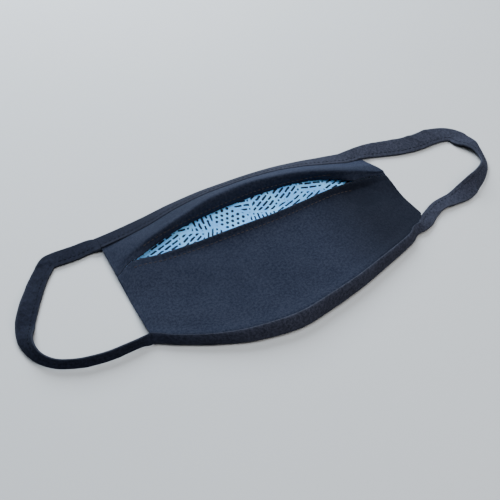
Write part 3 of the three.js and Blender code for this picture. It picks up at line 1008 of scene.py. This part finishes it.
def weave(nodes, place, pitch, diagonal):
    """A woven height from 0 to 1: crossing threads, stepped diagonally as in a twill where diagonal is 1."""
    rib_height = 0.32
    thread_height = 0.18
    thread_pitch = 0.62 * pitch
    x, y, _ = nodes.parts(place)
    ribs = waves(nodes, nodes.plus(nodes.times(x, diagonal), y), pitch)
    threads = waves(nodes, x, thread_pitch)
    both = nodes.plus(nodes.times(ribs, rib_height), nodes.times(threads, thread_height))
    return nodes.plus(both, 0.5)


# Linear colours that the cloths share, the cloths' specular level and sheen, and how high the bumps are, in
# metres.
LINT_COLOUR = (0.05, 0.054, 0.062, 1)
# The paler colour of the edges is partly wear and partly a painted highlight.
WORN_AND_LIT_COLOUR = (0.05, 0.056, 0.07, 1)
SHEEN_TINT = (0.62, 0.72, 0.9, 1)
DARK_SPECULAR = 0.04
SHEEN = 0.02
SHEEN_ROUGHNESS = 0.45
THREAD_BUMP = 0.00005
WEAVE_BUMP = 0.00006
GRAIN_BUMP = 0.0003


def dark_cloth(name, tones, painted_shading, pitch, diagonal, speck_share, wear_and_highlight_share):
    """Dark cotton: fine weave, grain, painted light and shade as another tone further along the mask, lint,
    and paler edges that are partly wear and partly a painted highlight.
    """
    lint_scale = 0.36
    lint_radius = (0.03, 0.09)
    lint_strength = 0.5
    least_wear_and_highlight = 0.4
    nodes = Nodes(name)
    place = nodes.millimetres()
    threads = weave(nodes, place, pitch, diagonal)
    grain = nodes.noise(place, scale=0.6, detail=4.0, roughness=0.85)
    slow = nodes.noise(place, scale=0.045, detail=3.0, roughness=0.55)
    stretched = nodes.vector("MULTIPLY", place, (0.9, 0.12, 1.0))
    streaks = nodes.noise(stretched, scale=1.1, detail=2.0, roughness=0.6)
    unevenness = (
        (nodes.ramp(grain, 0.4, 0.6), 0.62),
        (nodes.ramp(slow, 0.3, 0.7), 0.16),
        (nodes.ramp(streaks, 0.3, 0.7), 0.12),
        (threads, 0.1),
    )
    tone = 0.0
    for value, share in unevenness:
        tone = nodes.plus(tone, nodes.times(value, share))
    # Painted light and shade: further along the mask the cloth turns to other tones, lighter where they paint
    # light and darker where they paint shade.
    reach, rows, painted_shading_tones = painted_shading
    along = nodes.parts(nodes.new("ShaderNodeTexCoord").outputs["Object"])[0]
    share = nodes.ramp(along, *reach)
    if rows:
        share = nodes.times(share, nodes.ramp(nodes.parts(place)[1], *rows))
    colour = nodes.mix(share, nodes.mix(tone, *tones), nodes.mix(tone, *painted_shading_tones))
    lint = nodes.new("ShaderNodeTexVoronoi", feature="F1")
    nodes.put(place, lint.inputs["Vector"])
    lint.inputs["Scale"].default_value = lint_scale
    specks = nodes.ramp(lint.outputs["Distance"], *lint_radius, 1.0, 0.0)
    chosen = nodes.math("LESS_THAN", nodes.parts(lint.outputs["Color"])[0], speck_share)
    specks = nodes.times(specks, chosen)
    colour = nodes.mix(nodes.times(specks, lint_strength), colour, LINT_COLOUR)
    # The edges are painted paler, partly for wear and partly as a painted highlight.
    worn_and_lit = nodes.times(nodes.wear_and_highlight(), nodes.ramp(grain, 0.25, 0.75, wear_and_highlight_share * least_wear_and_highlight, wear_and_highlight_share))
    colour = nodes.mix(worn_and_lit, colour, WORN_AND_LIT_COLOUR)
    for socket, value in (("Weight", SHEEN), ("Roughness", SHEEN_ROUGHNESS), ("Tint", SHEEN_TINT)):
        nodes.shader.inputs["Sheen " + socket].default_value = value
    fine = nodes.bump(threads, WEAVE_BUMP, 0.8)
    rough = nodes.bump(grain, GRAIN_BUMP, 0.7, fine)
    return nodes.surface(colour, nodes.ramp(grain, 0.2, 0.8, 0.78, 0.95), DARK_SPECULAR, rough)


def motif(nodes, place, row_step, dash_step, half_dash, radius):
    """Short rounded strokes in staggered rows. Gives 1 in a stroke and 0 outside it."""
    soft_edge = 0.1
    x, y, _ = nodes.parts(place)
    row = nodes.math("FLOOR", nodes.math("DIVIDE", y, row_step))
    odd = nodes.times(nodes.math("FLOORED_MODULO", row, 2.0), dash_step * 0.5)
    along = nodes.math("FLOORED_MODULO", nodes.plus(x, odd), dash_step)
    along = nodes.math("ABSOLUTE", nodes.math("SUBTRACT", along, dash_step / 2))
    along = nodes.math("MAXIMUM", nodes.math("SUBTRACT", along, half_dash), 0.0)
    across = nodes.math("FLOORED_MODULO", y, row_step)
    across = nodes.math("SUBTRACT", across, row_step / 2)
    squares = nodes.plus(nodes.times(along, along), nodes.times(across, across))
    return nodes.ramp(nodes.math("SQRT", squares), radius - soft_edge, radius + soft_edge, 1.0, 0.0)


# The print: its patches' size and turns in radians, the shares of them with dots and with long strokes, and
# the colours of the ground, its faint mottling and the ink.
PATCH_SIZE = 19.0
PATCH_TURNS = (-1.5, 0.3)
DOT_SHARE = 0.2
STROKE_SHARE = 0.22
GROUND_COLOURS = ((0.13, 0.45, 0.97, 1), (0.2, 0.58, 1.0, 1))
MOTTLE_COLOUR = (0.13, 0.32, 0.7, 1)
MOTTLE_SHARE = 0.18
INK_COLOURS = ((0.006, 0.012, 0.028, 1), (0.02, 0.035, 0.07, 1))


def printed_cloth():
    """Pale blue cotton with a dark print: patches of dashes, dots and strokes, each turned its own way."""
    wobble_scale = 0.35
    wobble_reach = (0.9, 0.9, 0.0)
    bare_border = (0.035, 0.06)
    most_wear = 0.35
    nodes = Nodes("printed_cloth")
    place = nodes.millimetres()
    wobble = nodes.noise(place, wobble_scale, detail=1.0, output="Color")
    shaken = nodes.vector("ADD", place, nodes.vector("MULTIPLY", wobble, wobble_reach))
    patches = nodes.new("ShaderNodeTexVoronoi", feature="F1", voronoi_dimensions="2D")
    border = nodes.new("ShaderNodeTexVoronoi", feature="DISTANCE_TO_EDGE", voronoi_dimensions="2D")
    for voronoi in (patches, border):
        nodes.put(shaken, voronoi.inputs["Vector"])
        voronoi.inputs["Scale"].default_value = 1 / PATCH_SIZE
    pick = nodes.parts(patches.outputs["Color"])
    turned = nodes.new("ShaderNodeVectorRotate", rotation_type="Z_AXIS")
    nodes.put(shaken, turned.inputs["Vector"])
    nodes.put(nodes.ramp(pick[0], 0.0, 1.0, *PATCH_TURNS), turned.inputs["Angle"])
    local = turned.outputs[0]
    dashes = motif(nodes, local, row_step=3.2, dash_step=6.5, half_dash=2.0, radius=0.76)
    dots = motif(nodes, local, row_step=3.7, dash_step=4.0, half_dash=0.1, radius=1.05)
    strokes = motif(nodes, local, row_step=2.9, dash_step=9.0, half_dash=3.3, radius=0.62)
    ink = nodes.mix(nodes.math("GREATER_THAN", pick[1], 1 - DOT_SHARE), dashes, dots)
    ink = nodes.mix(nodes.math("LESS_THAN", pick[1], STROKE_SHARE), ink, strokes)
    ink = nodes.times(ink, nodes.ramp(border.outputs["Distance"], *bare_border))
    grain = nodes.noise(place, scale=2.2, detail=2.0, roughness=0.6)
    slow = nodes.noise(place, scale=0.08, detail=2.0)
    ground = nodes.mix(nodes.ramp(slow, 0.3, 0.7), *GROUND_COLOURS)
    ground = nodes.mix(nodes.times(nodes.ramp(grain, 0.3, 0.7), MOTTLE_SHARE), ground, MOTTLE_COLOUR)
    inked = nodes.mix(nodes.ramp(grain, 0.2, 0.8, 0.0, most_wear), *INK_COLOURS)
    threads = nodes.bump(weave(nodes, place, 0.42, 0.0), THREAD_BUMP, 0.8)
    return nodes.surface(nodes.mix(ink, ground, inked), 0.82, 0.1, threads)


def thread_material(name, dark, light):
    """Sewing thread, darker and lighter along its twist."""
    slant = 3.0
    twist_period = 2.0
    nodes = Nodes(name)
    x, y, _ = nodes.parts(nodes.millimetres())
    twist = waves(nodes, nodes.plus(nodes.times(x, slant), y), twist_period)
    tone = nodes.plus(nodes.times(twist, 0.5), 0.5)
    normal = nodes.bump(twist, THREAD_BUMP, 0.6)
    return nodes.surface(nodes.mix(tone, dark, light), 0.9, DARK_SPECULAR, normal)


def floor_material():
    """A pale matt grey with a very faint change of tone."""
    nodes = Nodes("pale_floor")
    slow = nodes.noise(nodes.new("ShaderNodeTexCoord").outputs["Object"], scale=3.0, detail=3.0)
    return nodes.surface(nodes.mix(slow, (0.34, 0.34, 0.34, 1), (0.37, 0.37, 0.37, 1)), 0.8, 0.2)


# The object

# The dark and light tones of the linings and tapes, and the tones that they turn to further along the mask,
# which are painted light and shade: lighter on the upper lining's back, the nose tape towards the right, the
# right loop and the chin tape from its left end on, and darker on the lower lining's right part.
LINING_TONES = ((0.0029, 0.0049, 0.0122, 1), (0.0168, 0.0196, 0.0312, 1))
UPPER_PAINTED_LIGHT_TONES = ((0.0044, 0.0072, 0.0176, 1), (0.0245, 0.0285, 0.045, 1))
LOWER_PAINTED_SHADE_TONES = ((0.0014, 0.0023, 0.0058, 1), (0.008, 0.0093, 0.0148, 1))
TAPE_TONES = ((0.0022, 0.0029, 0.006, 1), (0.0096, 0.011, 0.0198, 1))
TAPE_PAINTED_LIGHT_TONES = ((0.0066, 0.0076, 0.0125, 1), (0.029, 0.031, 0.046, 1))

# Each painted shading: between which places along the mask, in metres, then where it keeps to the upper
# lining's back, between which distances from the hem in millimetres, and the tones that it ends with.
UPPER_PAINTED_LIGHT = ((-0.05, 0.05), (10, 17), UPPER_PAINTED_LIGHT_TONES)
LOWER_PAINTED_SHADE = ((0.02, 0.075), None, LOWER_PAINTED_SHADE_TONES)
TAPE_PAINTED_LIGHT = ((-0.11, 0.085), None, TAPE_PAINTED_LIGHT_TONES)
CHIN_PAINTED_LIGHT = ((-0.125, -0.02), None, TAPE_PAINTED_LIGHT_TONES)

# The last share sets how much paler the edges are painted, partly wear and partly a painted highlight.
TWILL = {"pitch": 0.5, "diagonal": 1.0, "speck_share": 0.06, "wear_and_highlight_share": 0.2}
PLAIN = {"pitch": 0.42, "diagonal": 0.0, "speck_share": 0.14, "wear_and_highlight_share": 0.3}
# The upper and lower linings, and the nose-and-loop tape and the chin tape, are the same cloths with
# different painted light and shade.
upper_material = dark_cloth("lining_upper_cloth", LINING_TONES, UPPER_PAINTED_LIGHT, **TWILL)
lower_material = dark_cloth("lining_lower_cloth", LINING_TONES, LOWER_PAINTED_SHADE, **TWILL)
tape_material = dark_cloth("folded_tape", TAPE_TONES, TAPE_PAINTED_LIGHT, **PLAIN)
chin_material = dark_cloth("chin_tape", TAPE_TONES, CHIN_PAINTED_LIGHT, **PLAIN)
print_material = printed_cloth()
hem_thread = thread_material("hem_thread", (0.022, 0.0175, 0.0155, 1), (0.07, 0.056, 0.05, 1))
tape_thread = thread_material("tape_thread", (0.0006, 0.0009, 0.0016, 1), (0.006, 0.0075, 0.011, 1))

UPPER_SEED = 11
LOWER_SEED = 23
upper_piece, *upper_hem = lining_sheet(
    "lining_upper_cloth", "lining_upper", upper_lines, True, UPPER_SEED, upper_material
)
lower_piece, *lower_hem = lining_sheet(
    "lining_lower_cloth", "lining_lower", lower_lines, False, LOWER_SEED, lower_material
)
outer_piece = outer_sheet(print_material)

# How far the nose tape's leaves gape at its ends, and between which shares of the half length.
NOSE_GAPE = 0.7
LEFT_GAPE = (-0.93, -0.78)
RIGHT_GAPE = (0.93, 0.99)
nose_gape = NOSE_GAPE * (1 - smoothstep(*LEFT_GAPE, stations)) + NOSE_GAPE * smoothstep(*RIGHT_GAPE, stations)
nose_rows = edge_tape("nose_tape", "binding_top", NOSE_EDGE, NOSE_CURL, nose_gape, tape_material)
edge_tape("chin_tape", "binding_chin", CHIN_EDGE, CHIN_CURL, 0.0, chin_material)
left_rows = loop_tape("left_loop_tape", "ear_loop_left", -1, tape_material)
right_rows = loop_tape("right_loop_tape", "ear_loop_right", 1, tape_material)


def add_stitches(name, rows, slot, **limits):
    builder = Builder()
    for path, normals in rows:
        stitches(builder, path, normals, **limits)
    thread = hem_thread if slot == "lining_cloth" else tape_thread
    return builder.make(name, thread, slot)


lower_rows = [hem_row(*lower_hem, HEM_STITCH)]
upper_rows = [hem_row(*upper_hem, UPPER_HEM_STITCH)]
add_stitches("lower_hem_stitches", lower_rows, "lining_cloth", start=0.065, stop=0.87)
add_stitches("upper_hem_stitches", upper_rows, "lining_cloth", start=0.12, stop=0.82)
add_stitches("nose_tape_stitches", nose_rows, "folded_tape")
add_stitches("left_loop_stitches", left_rows, "folded_tape", start=0.02, stop=0.98)
add_stitches("right_loop_stitches", right_rows, "folded_tape", start=0.02, stop=0.98)


# The floor and the light

def add_floor():
    reach = 3.0
    corners = [(-reach, -reach, 0), (reach, -reach, 0), (reach, reach, 0), (-reach, reach, 0)]
    mesh = bpy.data.meshes.new("floor")
    mesh.from_pydata(corners, [], [(0, 1, 2, 3)])
    mesh.materials.append(floor_material())
    floor = added("floor", mesh)


def add_light(name, place, size, power, colour):
    """A square lamp that shines from its place to the origin."""
    data = bpy.data.lights.new(name, "AREA")
    data.shape = "SQUARE"
    data.size = size
    data.energy = power
    data.color = colour
    lamp = added(name, data)
    lamp.location = place
    lamp.rotation_euler = Vector(place).to_track_quat("Z", "Y").to_euler()


add_floor()
add_light("window_behind", (0.12, 0.95, 0.62), size=0.7, power=43.0, colour=(0.8, 0.9, 1.0))
add_light("soft_top", (-0.2, 0.0, 1.25), size=1.1, power=20.0, colour=(0.84, 0.92, 1.0))
add_light("front_right", (0.5, -0.6, 0.8), size=0.6, power=9.0, colour=(1.0, 0.96, 0.92))

ROOM_COLOUR = (0.8, 0.88, 1.0, 1)
ROOM_STRENGTH = 0.12
world = bpy.data.worlds.new("soft_room")
world.use_nodes = True
world.node_tree.nodes["Background"].inputs["Color"].default_value = ROOM_COLOUR
world.node_tree.nodes["Background"].inputs["Strength"].default_value = ROOM_STRENGTH
bpy.context.scene.world = world
